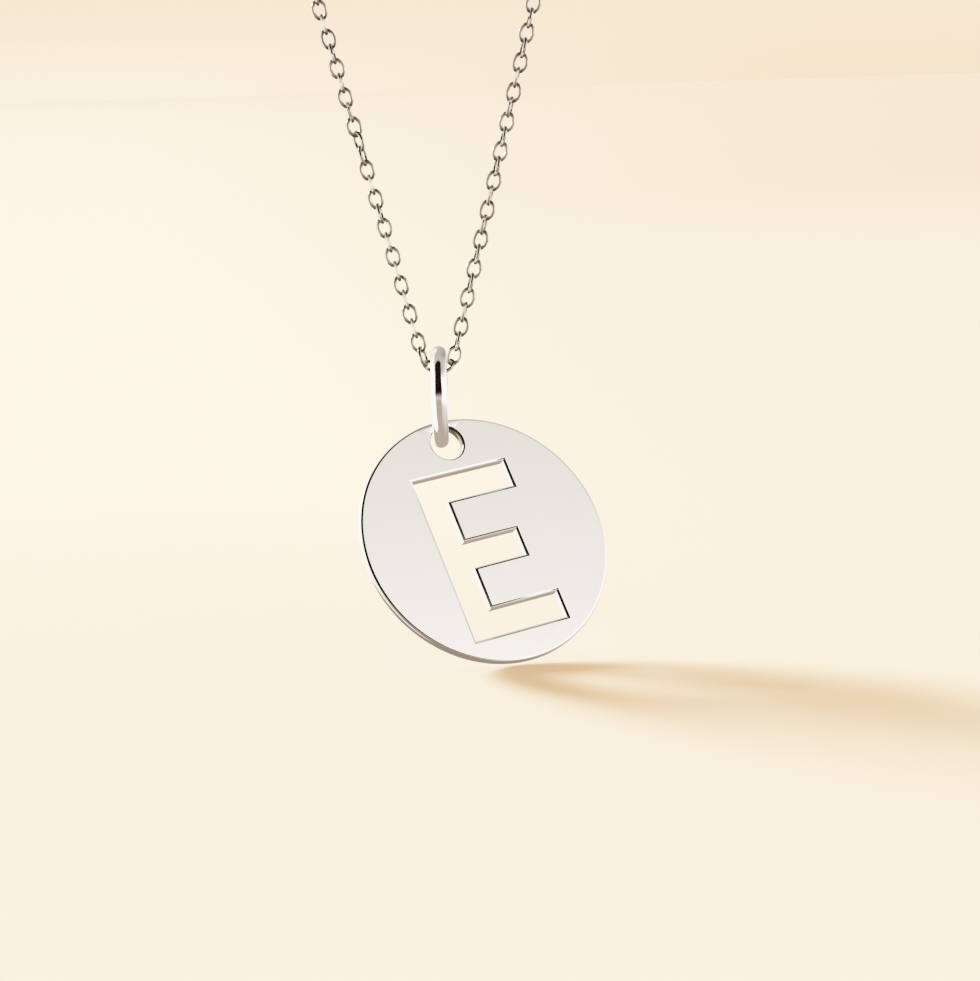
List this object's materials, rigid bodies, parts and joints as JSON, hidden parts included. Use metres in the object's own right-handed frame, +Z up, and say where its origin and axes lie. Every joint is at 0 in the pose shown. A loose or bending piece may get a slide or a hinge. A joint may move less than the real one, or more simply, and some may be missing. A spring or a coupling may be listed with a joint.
{
  "type": "initial pendant on a necklace chain",
  "caption": "Thin round silver pendant disc with a block initial cut through it, on a jump ring in the bottom of a fine cable chain that goes round the neck to a plain clasp.",
  "frame": {"origin": "middle of the neck hollow inside the chain, level with the chain at the sides of the neck", "axes": "+Z up, -Y to the wearer's front, +X to the right seen from the front"},
  "size_m": [0.0903, 0.1019, 0.1452],
  "materials": {
    "polished_silver_disc": "polished silver with fine handling marks",
    "polished_silver_ring": "bright polished silver wire",
    "silver_chain": "bright silver links",
    "silver_clasp": "bright polished silver"
  },
  "bodies": {
    "necklace": {"chain": "silver_chain", "clasp": "silver_clasp"},
    "ring": {"jump_ring": "polished_silver_ring"},
    "disc": {"initial_disc": "polished_silver_disc"}
  },
  "joints": [
    {"name": "ring_swing", "type": "hinge", "parent": "necklace", "child": "ring", "pos_m": [0, -0.046, -0.1141], "axis": [1, 0, 0], "range_deg": [-75, 75]},
    {"name": "disc_rock", "type": "hinge", "parent": "ring", "child": "disc", "pos_m": [0.00029, -0.04681, -0.11922], "axis": [0.366, -0.7849, 0.5], "range_deg": [-60, 55]}
  ]
}
